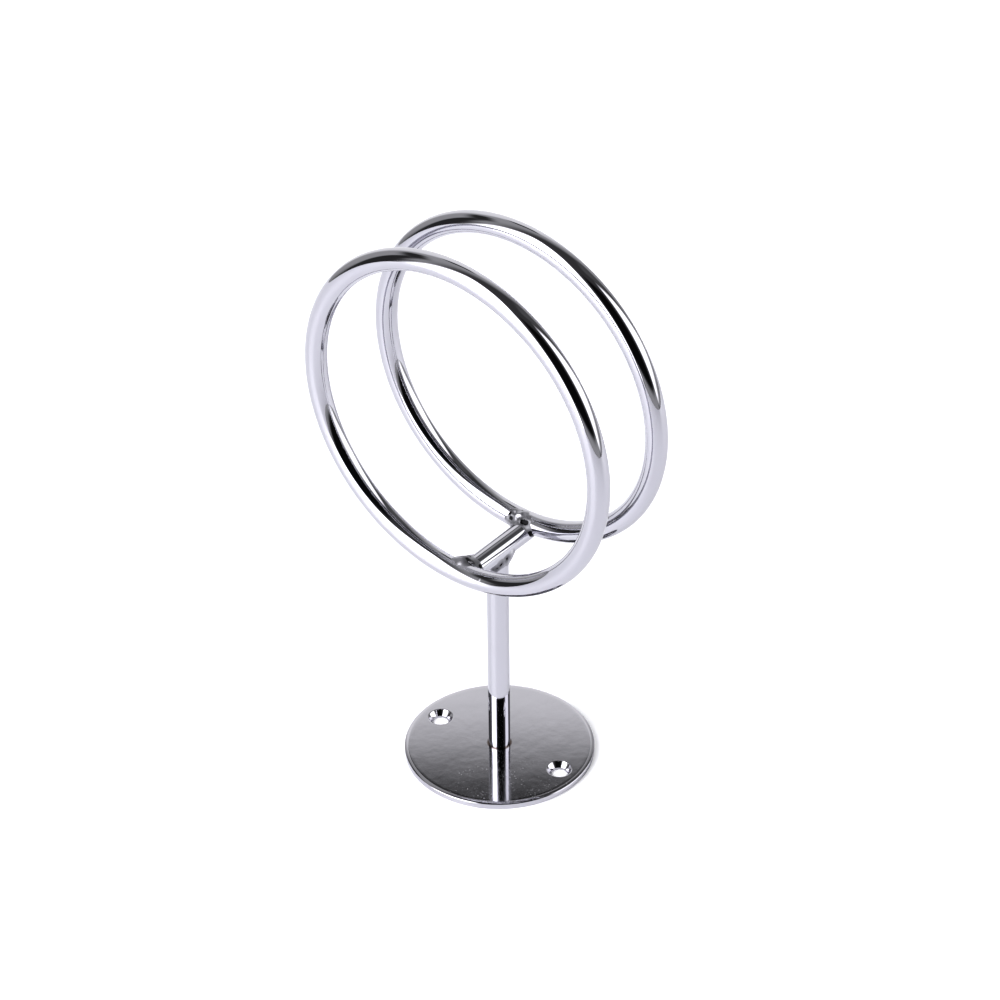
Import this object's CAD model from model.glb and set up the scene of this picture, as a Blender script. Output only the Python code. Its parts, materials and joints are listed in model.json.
"""Looks of the double-ring hair-dryer holder: chromed rings, crossbar, post, welds and screw-down plate."""
import json
import math

import bpy
import numpy as np
from mathutils import Matrix, Vector
from mathutils.geometry import delaunay_2d_cdt


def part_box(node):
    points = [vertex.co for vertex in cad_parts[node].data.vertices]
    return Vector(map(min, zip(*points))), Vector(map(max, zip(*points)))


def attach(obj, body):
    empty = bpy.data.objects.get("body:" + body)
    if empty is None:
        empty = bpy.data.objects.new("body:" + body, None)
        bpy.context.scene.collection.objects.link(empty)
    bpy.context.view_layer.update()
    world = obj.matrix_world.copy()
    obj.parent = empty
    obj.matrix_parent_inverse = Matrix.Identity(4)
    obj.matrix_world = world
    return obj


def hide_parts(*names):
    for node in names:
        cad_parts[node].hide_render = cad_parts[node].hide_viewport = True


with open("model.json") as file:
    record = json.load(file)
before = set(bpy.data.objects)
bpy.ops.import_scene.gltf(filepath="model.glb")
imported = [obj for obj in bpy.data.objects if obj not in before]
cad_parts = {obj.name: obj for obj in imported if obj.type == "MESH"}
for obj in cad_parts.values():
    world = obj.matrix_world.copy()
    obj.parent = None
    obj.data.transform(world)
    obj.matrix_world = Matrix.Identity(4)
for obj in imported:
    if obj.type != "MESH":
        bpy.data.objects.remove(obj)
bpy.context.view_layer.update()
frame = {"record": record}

MM = 0.001
TAU = 2.0 * math.pi


# ---------------------------------------------------------------- sizes taken from the CAD nodes
def box(node):
    """Lowest and highest corner of a CAD node, in millimetres."""
    low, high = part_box(node)
    return np.array(low) / MM, np.array(high) / MM


def ring_sizes(node):
    """Centre, centreline radius and rod radius of a ring that stands in a plane of constant Y."""
    low, high = box(node)
    rod = (high[1] - low[1]) / 2
    centre = (low + high) / 2
    return centre, (high[0] - low[0]) / 2 - rod, rod


FRONT = ring_sizes("front_ring")
BACK = ring_sizes("back_ring")
POST_LOW, POST_HIGH = box("post")
POST_RADIUS = (POST_HIGH[0] - POST_LOW[0]) / 2
BAR_LOW, BAR_HIGH = box("crossbar")
BAR_RADIUS = (BAR_HIGH[2] - BAR_LOW[2]) / 2
BAR_Z = (BAR_HIGH[2] + BAR_LOW[2]) / 2
PLATE_LOW, PLATE_HIGH = box("base_plate")
PLATE_RADIUS = (PLATE_HIGH[0] - PLATE_LOW[0]) / 2
PLATE_TOP = PLATE_HIGH[2]
SCREWS = next(m for m in frame["record"]["mounts"] if m["name"] == "screw_holes")


# ---------------------------------------------------------------- mesh making
def mesh_piece(name, points, faces, material, nodes, sharp=None):
    """A mesh object from points in millimetres, smooth shaded, riding on the root body."""
    mesh = bpy.data.meshes.new(name)
    mesh.from_pydata((np.asarray(points) * MM).tolist(), [], faces)
    mesh.update()
    mesh.shade_smooth()
    if sharp is not None:
        mesh.set_sharp_from_angle(angle=math.radians(sharp))
    mesh.materials.append(material)
    piece = bpy.data.objects.new(name, mesh)
    bpy.context.scene.collection.objects.link(piece)
    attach(piece, "root")
    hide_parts(*nodes)
    return piece


def loft(loops, closed):
    """Points and faces of a skin over equal loops; a closed skin joins its last loop to its first."""
    count = len(loops[0])
    points = np.concatenate(loops)
    faces = []
    spans = len(loops) if closed else len(loops) - 1
    for i in range(spans):
        here = i * count
        there = ((i + 1) % len(loops)) * count
        for j in range(count):
            k = (j + 1) % count
            faces.append((here + j, here + k, there + k, there + j))
    if not closed:
        faces.append(tuple(reversed(range(count))))
        faces.append(tuple(range((len(loops) - 1) * count, len(loops) * count)))
    return points, faces


def tube_loop(centre, radius, along, grow, sides):
    """One loop of a ring's rod at an angle round the ring, measured from straight down."""
    outward = np.array([math.sin(along), 0.0, -math.cos(along)])
    turn = np.arange(sides) * TAU / sides
    spread = np.outer(np.cos(turn), outward) + np.outer(np.sin(turn), [0.0, 1.0, 0.0])
    return centre + outward * radius + spread * grow


def make_ring(name, node, sizes, material, steps=360, sides=56):
    """A ring of round rod, bent to a true circle."""
    centre, radius, rod = sizes
    loops = []
    for i in range(steps):
        loops.append(tube_loop(centre, radius, i * TAU / steps, rod, sides))
    points, faces = loft(loops, closed=True)
    mesh_piece(name, points, faces, material, [node])


def make_rod(name, node, start, end, radius, edge, material, sides=72):
    """A straight round rod with eased ends."""
    start = np.array(start)
    end = np.array(end)
    axis = (end - start) / np.linalg.norm(end - start)
    side = np.cross(axis, [1.0, 0.0, 0.0] if abs(axis[0]) < 0.5 else [0.0, 1.0, 0.0])
    side /= np.linalg.norm(side)
    other = np.cross(axis, side)
    turn = np.arange(sides) * TAU / sides
    circle = np.outer(np.cos(turn), side) + np.outer(np.sin(turn), other)
    length = np.linalg.norm(end - start)
    stations = [(0.0, radius - edge), (edge * 0.3, radius - edge * 0.3), (edge, radius)]
    spans = 24
    stations += [(edge + (length - 2 * edge) * k / spans, radius) for k in range(1, spans)]
    stations += [(length - edge, radius), (length - edge * 0.3, radius - edge * 0.3)]
    stations += [(length, radius - edge)]
    loops = [start + axis * s + circle * r for s, r in stations]
    points, faces = loft(loops, closed=False)
    mesh_piece(name, points, faces, material, [node], sharp=40)


# ---------------------------------------------------------------- plate
def circle_points(x, y, radius, z, sides):
    """Points of a level circle."""
    turn = np.arange(sides) * TAU / sides
    return np.stack([x + radius * np.cos(turn), y + radius * np.sin(turn), np.full(sides, z)], axis=1)


# millimetres, except the turn of the screw holes, in degrees
PLATE_CROWN = 0.2
SHOULDER_WIDTH = 1.1
SHOULDER_DROP = 0.3
RIM_ROUND = 0.3
UNDER_EASE = 0.12
HEAD_RADIUS = 3.6
SINK_EASE = 0.12
SINK_ZONE = 1.9
HOLE_EASE = 0.05
SCREW_TURN = 4.0
# the rings of points that carry the crowned top
MESH_STEP = 1.06
MESH_RINGS = 24
MESH_SPACING = 1.1
MESH_CLEAR = 0.5


def crown(points):
    """Height of the plate's faintly crowned top at each point."""
    reach = np.hypot(points[:, 0], points[:, 1]) / PLATE_RADIUS
    return PLATE_TOP - PLATE_CROWN * reach**2


def fill_between(outline, holes, inner=()):
    """Triangles between an outline and its holes, through inner points, and where each point came from."""
    flat = []
    edges = []
    for loop in (outline, *holes):
        start = len(flat)
        flat.extend(Vector(p[:2]) for p in loop)
        edges.extend((start + j, start + (j + 1) % len(loop)) for j in range(len(loop)))
    flat.extend(Vector(p) for p in inner)
    points, _, faces, origin, _, _ = delaunay_2d_cdt(flat, edges, [], 1, 1e-6)
    source = [rows[0] for rows in origin]
    ends = np.cumsum([len(outline)] + [len(hole) for hole in holes])
    loop_of = [int(np.searchsorted(ends, k, side="right")) for k in source]
    keep = []
    for face in faces:
        loops = {loop_of[k] for k in face}
        if len(loops) > 1 or not 1 <= min(loops) <= len(holes):
            keep.append(tuple(face))
    return np.array([p[:] for p in points]), keep, source


def make_plate(material):
    """Round plate with a sloping shoulder, rounded rim, faintly crowned top and two countersunk holes."""
    rim = [(PLATE_RADIUS - UNDER_EASE, PLATE_LOW[2]), (PLATE_RADIUS, PLATE_LOW[2] + UNDER_EASE)]
    lean = math.atan(2 * SHOULDER_DROP / SHOULDER_WIDTH)
    turn_in = PLATE_RADIUS - RIM_ROUND * (1 - math.sin(lean))
    start = np.array([[turn_in, 0.0, 0.0]])
    turn_height = crown(start)[0] - SHOULDER_DROP
    parts = 12
    for k in range(parts + 1):
        a = k / parts * (math.pi / 2 - lean)
        swing = PLATE_RADIUS - RIM_ROUND + RIM_ROUND * math.cos(a)
        rim.append((swing, turn_height - RIM_ROUND * (math.cos(lean) - math.sin(a))))
    for k in range(parts - 1, -1, -1):
        reach = turn_in - SHOULDER_WIDTH * (1 - k / parts)
        height = crown(np.array([[reach, 0.0, 0.0]]))[0]
        rim.append((reach, height - SHOULDER_DROP * (k / parts) ** 2))
    hole = SCREWS["dims"]["hole_r_mm"]
    head = HEAD_RADIUS
    depth = head - hole
    ease = SINK_EASE
    points = []
    faces = []
    tops = []
    lows = []

    def wall(x, y, profile, sides, inward, on_top):
        """Skin through circles of each radius and height; with on_top the upper ones follow the crown."""
        rows = []
        for r, z in profile:
            row = circle_points(x, y, r, z, sides)
            if on_top and z > PLATE_TOP - SINK_ZONE:
                row[:, 2] += crown(row) - PLATE_TOP
            rows.append(len(points))
            points.extend(row)
        for a, b in zip(rows, rows[1:]):
            for j in range(sides):
                k = (j + 1) % sides
                quad = (a + j, a + k, b + k, b + j)
                faces.append(quad[::-1] if inward else quad)
        tops.append(range(rows[-1], rows[-1] + sides))
        lows.append(range(rows[0], rows[0] + sides))

    wall(0.0, 0.0, rim, 480, False, False)
    sink = [
        (hole + HOLE_EASE, PLATE_LOW[2]),
        (hole, PLATE_LOW[2] + HOLE_EASE),
        (hole, PLATE_TOP - depth - ease),
        (hole + ease * 0.4, PLATE_TOP - depth - ease * 0.3),
        (hole + ease, PLATE_TOP - depth + ease),
        (head - ease, PLATE_TOP - ease),
        (head - ease * 0.2, PLATE_TOP - ease * 0.3),
        (head + ease * 0.6, PLATE_TOP),
        (head + ease * 1.4, PLATE_TOP),
    ]
    angle = math.radians(SCREW_TURN)
    pitch = SCREWS["dims"]["pcd_mm"] / 2
    for sign in (1, -1):
        wall(sign * pitch * math.cos(angle), sign * pitch * math.sin(angle), sink, 120, True, True)
    for loops, upper in ((tops, True), (lows, False)):
        outlines = [np.array([points[k] for k in loop]) for loop in loops]
        inner = []
        if upper:
            centres = [outline[:, :2].mean(axis=0) for outline in outlines[1:]]
            for ring in range(1, MESH_RINGS + 1):
                reach = ring * MESH_STEP
                count = max(6, int(TAU * reach / MESH_SPACING))
                for p in circle_points(0.0, 0.0, reach, 0.0, count):
                    if all(np.linalg.norm(p[:2] - centre) > head + MESH_CLEAR for centre in centres):
                        inner.append(p[:2])
        flat, triangles, origin = fill_between(outlines[0], outlines[1:], inner)
        known = [k for loop in loops for k in loop]
        index = []
        for p, source in zip(flat, origin):
            if source < len(known):
                index.append(known[source])
                continue
            index.append(len(points))
            points.append(np.array([p[0], p[1], crown(np.array([p]))[0]]))
        for a, b, c in triangles:
            turn = (index[a], index[b], index[c])
            faces.append(turn if upper else turn[::-1])
    mesh_piece("plate_disc", points, faces, material, ["base_plate"], sharp=30)


# ---------------------------------------------------------------- welds, sculpted as fields
def surface_nets(values, low, cell):
    """Closed skin of the region where the field is below zero."""
    inside = values < 0
    nx, ny, nz = values.shape
    shape = (nx - 1, ny - 1, nz - 1)
    total = np.zeros(shape + (3,))
    count = np.zeros(shape)
    grid = np.stack(np.meshgrid(range(nx), range(ny), range(nz), indexing="ij"), axis=-1)
    for axis in range(3):
        a = [slice(None)] * 3
        b = [slice(None)] * 3
        a[axis] = slice(0, -1)
        b[axis] = slice(1, None)
        va, vb = values[tuple(a)], values[tuple(b)]
        cross = inside[tuple(a)] != inside[tuple(b)]
        step = np.where(cross, va / np.where(cross, va - vb, 1.0), 0.0)
        at = grid[tuple(a)].astype(float)
        at[..., axis] += step
        at *= cross[..., None]
        others = [k for k in range(3) if k != axis]
        for da in (0, 1):
            for db in (0, 1):
                pick = [slice(None)] * 3
                pick[others[0]] = slice(da, da + shape[others[0]])
                pick[others[1]] = slice(db, db + shape[others[1]])
                total += at[tuple(pick)]
                count += cross[tuple(pick)]
    active = count > 0
    number = np.full(shape, -1)
    number[active] = np.arange(active.sum())
    points = total[active] / count[active][:, None] * cell + low
    faces = []
    for axis in range(3):
        a = [slice(1, -1)] * 3
        b = [slice(1, -1)] * 3
        a[axis] = slice(0, -1)
        b[axis] = slice(1, None)
        ina, inb = inside[tuple(a)], inside[tuple(b)]
        where = np.argwhere(ina != inb)
        o1, o2 = [k for k in range(3) if k != axis]
        where[:, o1] += 1
        where[:, o2] += 1
        for i, j, k in where:
            p = [i, j, k]
            quad = []
            for d1, d2 in ((-1, -1), (0, -1), (0, 0), (-1, 0)):
                q = list(p)
                q[o1] += d1
                q[o2] += d2
                quad.append(int(number[tuple(q)]))
            forward = inside[i, j, k] == (axis != 1)
            faces.append(tuple(quad if forward else quad[::-1]))
    return points, faces


def smooth_min(a, b, blend):
    """Union of two fields with a hollow fillet between them."""
    h = np.clip(0.5 + 0.5 * (b - a) / blend, 0.0, 1.0)
    return b + (a - b) * h - blend * h * (1.0 - h)


def ball(p, centre, radius):
    """Field of a ball."""
    return np.linalg.norm(p - np.array(centre), axis=-1) - radius


def egg(p, centre, sizes):
    """How far out of an egg's middle a point is: 1 on its skin."""
    return np.linalg.norm((p - np.array(centre)) / np.array(sizes), axis=-1)


def ring_field(p, sizes):
    """Field of a ring's rod."""
    centre, radius, rod = sizes
    q = p - centre
    reach = np.hypot(q[..., 0], q[..., 2]) - radius
    return np.hypot(reach, q[..., 1]) - rod


def bar_field(p):
    """Field of the crossbar, without its ends."""
    return np.hypot(p[..., 0], p[..., 2] - BAR_Z) - BAR_RADIUS


def post_field(p):
    """Field of the post below its top."""
    side = np.hypot(p[..., 0], p[..., 1]) - POST_RADIUS
    return np.maximum(side, p[..., 2] - POST_HIGH[2])


def fade(x, start, end):
    """0 before start, 1 after end, smooth between."""
    t = np.clip((x - start) / (end - start), 0.0, 1.0)
    return t * t * (3.0 - 2.0 * t)


def lumps(p, size, seed):
    """Smooth noise about zero, the same each run."""
    state = np.random.RandomState(seed)
    value = np.zeros(p.shape[:-1])
    waves = 24
    for _ in range(waves):
        wave = state.normal(size=3)
        wave *= (0.6 + 0.8 * state.rand()) / np.linalg.norm(wave) / size * TAU
        value += np.sin(p @ wave + state.rand() * TAU)
    return value / math.sqrt(waves / 2)


def sculpt(name, node, field, pits, low, high, material, cell=0.17):
    """A weld skinned from its field, then settled onto it; soot marks its pits for the material."""
    low = np.array(low, float)
    high = np.array(high, float)
    axes = [np.arange(low[k], high[k] + cell, cell) for k in range(3)]
    grid = np.stack(np.meshgrid(*axes, indexing="ij"), axis=-1)
    values = field(grid)
    for axis in range(3):
        for end in (0, -1):
            rim = [slice(None)] * 3
            rim[axis] = end
            values[tuple(rim)] = np.maximum(values[tuple(rim)], cell)
    points, faces = surface_nets(values, low, cell)
    tiny = 0.01
    settling_steps = 3
    settling_share = 0.8
    least_slope = 0.15
    for _ in range(settling_steps):
        here = field(points)
        slope = np.stack(
            [(field(points + np.eye(3)[k] * tiny) - here) / tiny for k in range(3)], axis=-1
        )
        steepness = np.maximum((slope**2).sum(axis=-1), least_slope)
        move = np.clip(here / steepness, -cell, cell)
        points = points - slope * move[:, None] * settling_share
    piece = mesh_piece(name, points, faces, material, [node])
    near_pit = pit_field(points, pits)
    in_pit = 1.0 - fade(near_pit, -0.02, 0.22)
    round_pit = 0.6 * (1.0 - fade(near_pit, 0.2, 1.9))
    soot = piece.data.attributes.new("soot", "FLOAT", "POINT")
    soot.data.foreach_set("value", np.maximum(in_pit, round_pit))


def pit_field(p, pits):
    """Field of a group of small round pits; each is a centre and a radius."""
    far = 9.0
    field = np.full(p.shape[:-1], far)
    for centre, radius in pits:
        field = np.minimum(field, ball(p, centre, radius))
    return field


FRONT_PITS = (
    ((0.9, -12.3, 75.0), 0.8),
    ((0.0, -12.3, 75.3), 0.75),
    ((-0.9, -12.0, 75.5), 0.55),
    ((2.9, -10.7, 73.8), 0.75),
    ((3.5, -10.6, 72.4), 0.65),
    ((-3.0, -11.0, 75.2), 0.45),
)
BACK_PITS = (
    ((-6.2, 11.1, 75.5), 1.0),
    ((-5.2, 11.5, 76.0), 0.8),
    ((-4.0, 10.7, 74.8), 0.7),
    ((0.4, 11.0, 75.4), 0.75),
    ((1.4, 10.9, 75.7), 0.8),
    ((3.2, 11.0, 76.0), 0.75),
    ((4.3, 11.6, 76.6), 0.65),
    ((3.6, 10.5, 72.8), 1.0),
)
POST_PITS = (
    ((2.0, -2.9, 68.6), 0.6),
    ((2.7, -2.2, 69.4), 0.65),
    ((3.5, -0.6, 66.2), 0.5),
    ((3.1, 0.3, 69.9), 0.4),
)
PIT_BLEND = 0.2
PIT_FLOOR = 0.07
WELD_REACH = 1.15
END_OF_FRONT_WELD = -11.6
END_OF_BACK_WELD = 11.8


def pitted(p, field, rods, pits):
    """A weld's field with its pits cut in, down to a hair above the rods under it."""
    cut = -smooth_min(-field, pit_field(p, pits), PIT_BLEND)
    return np.minimum(cut, np.maximum(field, rods - PIT_FLOOR))


def front_joint(p):
    """Crossbar to front ring: a hollow sweep on the -X side, a tight fillet on the +X side."""
    ring = ring_field(p, FRONT)
    bar = np.maximum(bar_field(p), END_OF_FRONT_WELD - p[..., 1])
    sweep = 2.0 + 3.2 * fade(-p[..., 0], -0.8, 2.4)
    field = smooth_min(ring, bar, sweep)
    saddle = egg(p, [-1.6, -13.0, 74.2], [5.4, 2.7, 2.4])
    field = field - 0.1 * (1.0 - fade(saddle, 0.3, 1.0))
    away = egg(p, [-1.2, -11.6, 72.2], [5.6, 5.0, 4.5])
    field = field + 0.5 * fade(away, 0.68, 1.02) - 0.05 + 0.06 * lumps(p, 2.6, 3)
    field = pitted(p, field, np.minimum(ring, bar), FRONT_PITS)
    return np.maximum(field, away - WELD_REACH)


def back_joint(p):
    """Crossbar to back ring: a rough, pitted saddle over the top of the ring."""
    ring = ring_field(p, BACK)
    bar = np.maximum(bar_field(p), p[..., 1] - END_OF_BACK_WELD)
    field = smooth_min(ring, bar, 2.2)
    saddle = egg(p, [-1.2, 12.8, 75.4], [6.4, 2.8, 2.6])
    field = field - (0.22 + 0.12 * lumps(p, 1.9, 11)) * (1.0 - fade(saddle, 0.4, 1.0))
    away = egg(p, [-1.4, 12.6, 73.4], [6.8, 4.4, 4.4])
    field = field + 0.5 * fade(away, 0.72, 1.02) - 0.05 + 0.05 * lumps(p, 2.4, 5)
    field = pitted(p, field, np.minimum(ring, bar), BACK_PITS)
    return np.maximum(field, away - WELD_REACH)


def post_joint(p):
    """Post to crossbar: hollow fillets fore and aft, and pits on the +X side."""
    fore_and_aft = fade(np.abs(p[..., 1]), 0.8, 3.0)
    field = smooth_min(post_field(p), bar_field(p), 0.9 + 3.0 * fore_and_aft)
    away = egg(p, [0.0, 0.6, 69.4], [4.4, 6.6, 5.2])
    field = field + 0.5 * fade(away, 0.76, 1.02) - 0.07 + 0.02 * lumps(p, 2.8, 8)
    field = pitted(p, field, np.minimum(post_field(p), bar_field(p)), POST_PITS)
    return np.maximum(field, away - WELD_REACH)


RIPPLE_PITCH = 1.1
SEAM_SINK = 0.03


def seam_angle(node, sizes):
    """How far round its ring, from straight down, a seam weld sits."""
    low, high = box(node)
    centre = (low + high) / 2
    return math.atan2(centre[0] - sizes[0][0], sizes[0][2] - centre[2])


def make_seam(name, node, sizes, angle, proud, material):
    """Closing weld of a ring, dressed to the rod: it lies a hair under the rod and ripples on one side."""
    centre, radius, rod = sizes
    low, high = box(node)
    steps = 110
    sides = 96
    end_gap = 0.3
    half = (high[0] - low[0]) / 2 - end_gap
    upper_front = np.array([0.0, -0.64, 0.77])
    loops = []
    for i in range(steps + 1):
        s = (i / steps * 2 - 1) * half
        along = angle + s / radius
        base = tube_loop(centre, radius, along, rod, sides)
        mid = tube_loop(centre, radius, along, 0.0, sides)
        facing = fade((base - mid) @ upper_front / rod, 0.55, 0.95)
        ends = 1 - (s / half) ** 4
        ripple = 0.5 * math.cos(s * TAU / RIPPLE_PITCH)
        crests = np.maximum(lumps(base, 1.5, 13) + ripple, -0.6)
        swell = (proud * crests + 0.3 * proud) * facing * ends - SEAM_SINK
        loops.append(mid + (base - mid) * (1 + swell / rod)[:, None])
    points, faces = loft(loops, closed=False)
    mesh_piece(name, points, faces, material, [node], sharp=50)


SPIGOT_RADIUS = 2.0
# share of the plug's radius and height above the underside, for the ripples of the plug's face
PLUG_FACE = ((0.25, 0.04), (0.55, 0.02), (0.8, 0.03), (0.96, 0.0), (1.0, 0.06))


def make_foot(material):
    """Weld that fills the hole under the plate, round the spigot, with faint ripples."""
    low, high = box("post_foot_weld")
    radius = (high[0] - low[0]) / 2
    sides = 72
    loops = [circle_points(0.0, 0.0, radius * share, low[2] + z, sides) for share, z in PLUG_FACE]
    loops.append(circle_points(0.0, 0.0, SPIGOT_RADIUS, high[2], sides))
    points, faces = loft(loops, closed=False)
    mesh_piece("post_foot_plug", points, faces, material, ["post_foot_weld"], sharp=50)


# ---------------------------------------------------------------- node helpers
class Nodes:
    """Short calls for building a node tree."""

    def __init__(self, tree):
        self.tree = tree

    def make(self, kind, **settings):
        node = self.tree.nodes.new(kind)
        for key, value in settings.items():
            setattr(node, key, value)
        return node

    def feed(self, socket, value):
        if isinstance(value, bpy.types.NodeSocket):
            self.tree.links.new(value, socket)
        else:
            socket.default_value = value

    def math(self, operation, *values):
        node = self.make("ShaderNodeMath", operation=operation)
        for socket, value in zip(node.inputs, values):
            self.feed(socket, value)
        return node.outputs[0]

    def ease(self, value, start, end):
        """Smooth step: 0 at start and 1 at end."""
        node = self.make("ShaderNodeMapRange", interpolation_type="SMOOTHERSTEP", clamp=True)
        self.feed(node.inputs["Value"], value)
        self.feed(node.inputs["From Min"], start)
        self.feed(node.inputs["From Max"], end)
        return node.outputs["Result"]

    def spread(self, value, low, high):
        """A 0 to 1 value moved to the range from low to high."""
        node = self.make("ShaderNodeMapRange", clamp=True)
        self.feed(node.inputs["Value"], value)
        self.feed(node.inputs["To Min"], low)
        self.feed(node.inputs["To Max"], high)
        return node.outputs["Result"]

    def noise(self, where, scale, detail=2.0, rough=0.5, distortion=0.0):
        node = self.make("ShaderNodeTexNoise")
        self.feed(node.inputs["Vector"], where)
        self.feed(node.inputs["Scale"], scale)
        self.feed(node.inputs["Detail"], detail)
        self.feed(node.inputs["Roughness"], rough)
        self.feed(node.inputs["Distortion"], distortion)
        return node.outputs["Fac"]

    def blend(self, factor, first, second):
        node = self.make("ShaderNodeMix", data_type="RGBA")
        self.feed(node.inputs[0], factor)
        self.feed(node.inputs[6], first)
        self.feed(node.inputs[7], second)
        return node.outputs[2]

    def bump(self, height, strength, distance, normal=None):
        node = self.make("ShaderNodeBump")
        node.inputs["Strength"].default_value = strength
        node.inputs["Distance"].default_value = distance
        self.feed(node.inputs["Height"], height)
        if normal is not None:
            self.feed(node.inputs["Normal"], normal)
        return node.outputs["Normal"]


def grey(value, tint=(1.0, 1.0, 1.0)):
    return (value * tint[0], value * tint[1], value * tint[2], 1.0)


def new_material(name):
    """A material with a metal shader, its node helper and object coordinates."""
    material = bpy.data.materials.new(name)
    material.use_nodes = True
    tree = material.node_tree
    tree.nodes.clear()
    nodes = Nodes(tree)
    output = nodes.make("ShaderNodeOutputMaterial")
    shader = nodes.make("ShaderNodeBsdfPrincipled")
    shader.inputs["Metallic"].default_value = 1.0
    tree.links.new(shader.outputs[0], output.inputs["Surface"])
    where = nodes.make("ShaderNodeTexCoord").outputs["Object"]
    return material, nodes, shader, where


CHROME = (0.555, 0.55, 0.605)
CHROME_DULL = (0.44, 0.435, 0.48)
PLATE_CHROME = (0.55, 0.542, 0.59)
FLUX_BROWN = (0.16, 0.125, 0.11, 1.0)
PAPER = (0.84, 0.84, 0.885, 1.0)
PAPER_FIBRE = (0.86, 0.86, 0.905, 1.0)


def make_rod_chrome():
    """Bright chrome on drawn rod: faint waviness, slightly dull patches, hair-fine roughness."""
    material, n, shader, where = new_material("rod_chrome")
    cloud = n.noise(where, 60.0, 3.0, 0.55)
    fine = n.noise(where, 1400.0, 2.0, 0.6)
    dull = n.ease(cloud, 0.52, 0.72)
    n.feed(shader.inputs["Base Color"], n.blend(dull, grey(1.0, CHROME), grey(0.97, CHROME)))
    n.feed(shader.inputs["Roughness"], n.spread(dull, 0.035, 0.06))
    wave = n.noise(where, 130.0, 1.0, 0.5)
    normal = n.bump(wave, 0.12, 0.00012)
    normal = n.bump(fine, 0.05, 0.00002, normal)
    n.feed(shader.inputs["Normal"], normal)
    return material


def make_weld_chrome():
    """Chrome over weld metal: satin, softly lumpy, with dark pinholes and soot in its pits."""
    material, n, shader, where = new_material("weld_chrome")
    rough = n.noise(where, 420.0, 2.0, 0.5)
    pits = n.noise(where, 700.0, 1.0, 0.5)
    pit = n.ease(pits, 0.70, 0.76)
    metal = n.blend(pit, grey(0.74, CHROME), grey(0.25, CHROME_DULL))
    soot = n.make("ShaderNodeAttribute", attribute_name="soot").outputs["Fac"]
    n.feed(shader.inputs["Base Color"], n.blend(soot, metal, grey(0.03, CHROME_DULL)))
    satin = n.spread(rough, 0.22, 0.42)
    n.feed(shader.inputs["Roughness"], n.math("ADD", satin, n.math("MULTIPLY", soot, 0.3)))
    normal = n.bump(rough, 0.25, 0.00008)
    n.feed(shader.inputs["Normal"], normal)
    return material


def make_plate_chrome():
    """Chrome on sheet steel: faint waves and mottling, dull dots near the front, brown flux at the post."""
    material, n, shader, where = new_material("plate_chrome")
    speck = n.noise(where, 1900.0, 2.0, 0.6)
    patch = n.noise(where, 110.0, 3.0, 0.6)
    grain = n.noise(where, 620.0, 3.0, 0.6)
    broad = n.noise(where, 160.0, 2.0, 0.5)
    split = n.make("ShaderNodeSeparateXYZ")
    n.feed(split.inputs[0], where)
    toward = n.math("SUBTRACT", n.math("MULTIPLY", split.outputs["X"], 0.5), split.outputs["Y"])
    front = n.ease(toward, -0.012, 0.026)
    dots = n.math("MULTIPLY", n.ease(speck, 0.62, 0.72), n.ease(patch, 0.38, 0.66))
    dots = n.math("MULTIPLY", dots, n.spread(front, 0.1, 1.0))
    across = n.math("POWER", split.outputs["X"], 2.0)
    along = n.math("POWER", split.outputs["Y"], 2.0)
    reach = n.math("SQRT", n.math("ADD", across, along))
    foot = POST_RADIUS * MM
    stain = n.math("SUBTRACT", 1.0, n.ease(reach, foot + 0.0001, foot + 0.0007))
    metal = n.blend(dots, grey(0.97, PLATE_CHROME), grey(0.86, PLATE_CHROME))
    n.feed(shader.inputs["Base Color"], n.blend(stain, metal, FLUX_BROWN))
    smooth = n.spread(patch, 0.05, 0.11)
    n.feed(shader.inputs["Roughness"], n.math("ADD", smooth, n.math("MULTIPLY", dots, 0.26)))
    normal = n.bump(broad, 0.30, 0.00003)
    normal = n.bump(grain, 0.30, 0.000008, normal)
    normal = n.bump(dots, 0.15, 0.00001, normal)
    n.feed(shader.inputs["Normal"], normal)
    return material


# ---------------------------------------------------------------- studio
TABLE_RADIUS = 0.62


def make_floor():
    """Pale round table top under the plate; the camera sees it a little brighter than it is lit."""
    sides = 128
    mesh = bpy.data.meshes.new("table_top")
    points = circle_points(0.0, 0.0, TABLE_RADIUS, 0.0, sides)
    mesh.from_pydata(points.tolist(), [], [tuple(range(sides))])
    table = bpy.data.objects.new("table_top", mesh)
    bpy.context.scene.collection.objects.link(table)
    material = bpy.data.materials.new("table_paper")
    material.use_nodes = True
    n = Nodes(material.node_tree)
    shader = material.node_tree.nodes["Principled BSDF"]
    where = n.make("ShaderNodeTexCoord").outputs["Object"]
    fibre = n.noise(where, 900.0, 3.0, 0.6)
    n.feed(shader.inputs["Base Color"], n.blend(fibre, PAPER, PAPER_FIBRE))
    shader.inputs["Roughness"].default_value = 0.3
    shader.inputs["Specular IOR Level"].default_value = 0.3
    shader.inputs["Emission Color"].default_value = (1.0, 1.0, 1.0, 1.0)
    seen = n.make("ShaderNodeLightPath").outputs["Is Camera Ray"]
    n.feed(shader.inputs["Emission Strength"], n.math("MULTIPLY", seen, 0.3))
    mesh.materials.append(material)


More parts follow.
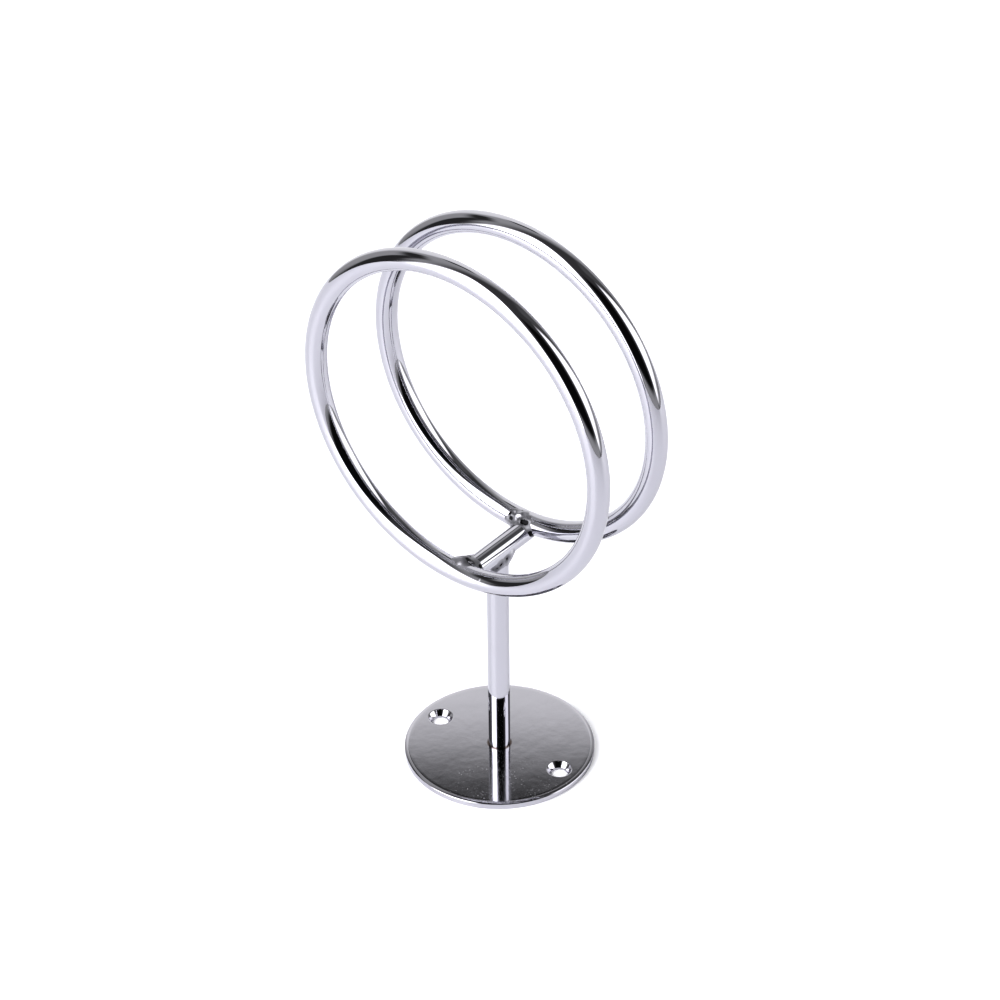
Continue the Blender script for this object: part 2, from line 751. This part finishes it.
# The room by direction: longitude 0 is +Y and 90 is +X, latitude is above the horizon, in degrees.
# Name, radiance, soft edge, corners as (longitude, latitude); later cards lie over earlier ones.
CARDS = (
    ("ceiling", 0.42, 30.0, ((-150, 5), (-125, 64), (-30, 66), (14, 38), (14, -30), (-75, -30))),
    ("backdrop", 1.1, 21.0, ((-72, -30), (-68, 35), (-40, 43), (-20, 38), (-16, -30))),
    ("backdrop_bar", 0.01, 4.6, ((-54, 38.7), (-53, 49), (-30, 49), (-30, 39.0))),
    ("gap_low", 0.03, 9.0, ((-139, -20), (-133, 4), (-126, 24), (-112, 30), (-108, 14), (-114, -16))),
    ("gap_high", 0.03, 12.0, ((-126, 22), (-118, 40), (-86, 44), (-78, 28))),
    ("wedge", 0.10, 12.0, ((-8, 30), (6, 58), (20, 66), (58, 76), (58, 68), (36, 53), (23, 32))),
    ("window", 2.4, 12.0, ((12, -8), (26, 30), (38, 50), (50, 60), (68, 50), (81, 10), (81, -8))),
    ("window_foot", 0.34, 14.0, ((-8, -26), (-2, 2), (22, 2), (56, -1), (72, -11), (72, -16))),
    ("room_foot", 0.40, 8.0, ((84, -16), (84, -2), (156, 0), (156, -18))),
    ("room", 0.004, 12.0, ((95, -4), (92, 60), (154, 60), (161, -2))),
    (
        "side_light",
        6.0,
        14.0,
        ((160, -30), (160, 14), (172, 44), (178, 60), (-138, 60), (-138, 34), (-138, -10), (-142, -40)),
    ),
)
# radiance wherever no card reaches
BETWEEN_CARDS = 0.05


def direction(longitude, latitude):
    """Unit vector for a place in the room."""
    lon = math.radians(longitude)
    lat = math.radians(latitude)
    return Vector((math.sin(lon) * math.cos(lat), math.cos(lon) * math.cos(lat), math.sin(lat)))


def make_surroundings():
    """The room the chrome mirrors: soft white cards and dark gaps; the camera itself sees plain white."""
    world = bpy.data.worlds.new("studio")
    bpy.context.scene.world = world
    world.use_nodes = True
    tree = world.node_tree
    tree.nodes.clear()
    n = Nodes(tree)
    ray = n.make("ShaderNodeTexCoord").outputs["Generated"]
    level = BETWEEN_CARDS
    for _, radiance, soft, corners in CARDS:
        points = [direction(*corner) for corner in corners]
        middle = sum(points, Vector())
        reach = math.sin(math.radians(soft / 2))
        mask = 1.0
        for first, second in zip(points, points[1:] + points[:1]):
            edge = first.cross(second).normalized()
            if edge.dot(middle) < 0:
                edge.negate()
            dot = n.make("ShaderNodeVectorMath", operation="DOT_PRODUCT")
            n.feed(dot.inputs[0], ray)
            n.feed(dot.inputs[1], edge)
            mask = n.math("MULTIPLY", mask, n.ease(dot.outputs["Value"], -reach, reach))
        gap = n.math("SUBTRACT", radiance, level)
        level = n.math("ADD", level, n.math("MULTIPLY", gap, mask))
    mirror = n.make("ShaderNodeBackground")
    n.feed(mirror.inputs["Color"], level)
    seen = n.make("ShaderNodeBackground")
    seen.inputs["Color"].default_value = (1.0, 1.0, 1.0, 1.0)
    seen.inputs["Strength"].default_value = 1.05
    mix = n.make("ShaderNodeMixShader")
    n.feed(mix.inputs[0], n.make("ShaderNodeLightPath").outputs["Is Camera Ray"])
    tree.links.new(mirror.outputs[0], mix.inputs[1])
    tree.links.new(seen.outputs[0], mix.inputs[2])
    out = n.make("ShaderNodeOutputWorld")
    tree.links.new(mix.outputs[0], out.inputs["Surface"])


def make_lamp(name, place, size, power):
    """A large soft lamp aimed at the object, which the chrome doesn't mirror."""
    lamp = bpy.data.lights.new(name, "AREA")
    lamp.shape = "DISK"
    lamp.size = size
    lamp.energy = power
    holder = bpy.data.objects.new(name, lamp)
    bpy.context.scene.collection.objects.link(holder)
    holder.location = place
    holder.rotation_euler = (-Vector(place)).to_track_quat("-Z", "Y").to_euler()
    holder.visible_glossy = False
    holder.visible_camera = False


def make_camera():
    """Camera in front of the object, to its right and above it, looking down at its middle."""
    azimuth = math.radians(39.497)
    elevation = math.radians(36.161)
    roll = math.radians(-0.603)
    distance = 1306.068
    aim_height = 89.132
    aim_right = 0.878
    level = Vector((math.sin(azimuth), -math.cos(azimuth), 0.0))
    back = level * math.cos(elevation) + Vector((0.0, 0.0, math.sin(elevation)))
    right = Vector((math.cos(azimuth), math.sin(azimuth), 0.0))
    up = right.cross(-back)
    place = Vector((0.0, 0.0, aim_height)) + right * aim_right + back * distance
    across = right * math.cos(roll) + up * math.sin(roll)
    upright = up * math.cos(roll) - right * math.sin(roll)
    camera = bpy.data.cameras.new("camera")
    camera.sensor_width = 36.0
    camera.lens = 168.776
    camera.clip_start = 0.05
    camera.clip_end = 20.0
    holder = bpy.data.objects.new("camera", camera)
    bpy.context.scene.collection.objects.link(holder)
    turn = Matrix((across, upright, back)).transposed().to_4x4()
    holder.matrix_world = Matrix.Translation(place * MM) @ turn
    bpy.context.scene.camera = holder


# ---------------------------------------------------------------- the object
make_camera()
bpy.context.scene.view_settings.view_transform = "Standard"

rod_chrome = make_rod_chrome()
weld_chrome = make_weld_chrome()
plate_chrome = make_plate_chrome()

make_plate(plate_chrome)
post_sink = 0.6
post_start = (0, 0, PLATE_TOP - post_sink)
post_end = (0, 0, POST_HIGH[2])
bar_start = (0, BAR_LOW[1], BAR_Z)
bar_end = (0, BAR_HIGH[1], BAR_Z)
make_rod("post_rod", "post", post_start, post_end, POST_RADIUS, 0.15, rod_chrome)
make_rod("crossbar_rod", "crossbar", bar_start, bar_end, BAR_RADIUS, 0.1, rod_chrome)
make_ring("front_ring_rod", "front_ring", FRONT, rod_chrome)
make_ring("back_ring_rod", "back_ring", BACK, rod_chrome)

# piece, node, field, pits, and the corners of the space it is sculpted in
SCULPTED = (
    ("front_joint_bead", "front_ring_joint_weld", front_joint, FRONT_PITS, (-8, -18.5, 66), (6, -5, 78)),
    ("back_joint_bead", "back_ring_joint_weld", back_joint, BACK_PITS, (-9.5, 7, 67), (7, 18.5, 79)),
    ("post_top_gusset", "post_top_weld", post_joint, POST_PITS, (-6, -8, 62), (6, 9, 76)),
)
for piece, node, field, pits, low, high in SCULPTED:
    sculpt(piece, node, field, pits, low, high, weld_chrome)

for side, sizes, proud in (("front", FRONT, 0.014), ("back", BACK, 0.01)):
    seam = f"{side}_ring_seam_weld"
    make_seam(f"{side}_seam_bead", seam, sizes, seam_angle(seam, sizes), proud, weld_chrome)
make_foot(weld_chrome)

make_floor()
make_surroundings()
make_lamp("key", (-0.42, -0.5, 0.95), 0.8, 6.8)
make_lamp("low_side", (-0.25, -0.7, 0.4), 0.5, 0.5)
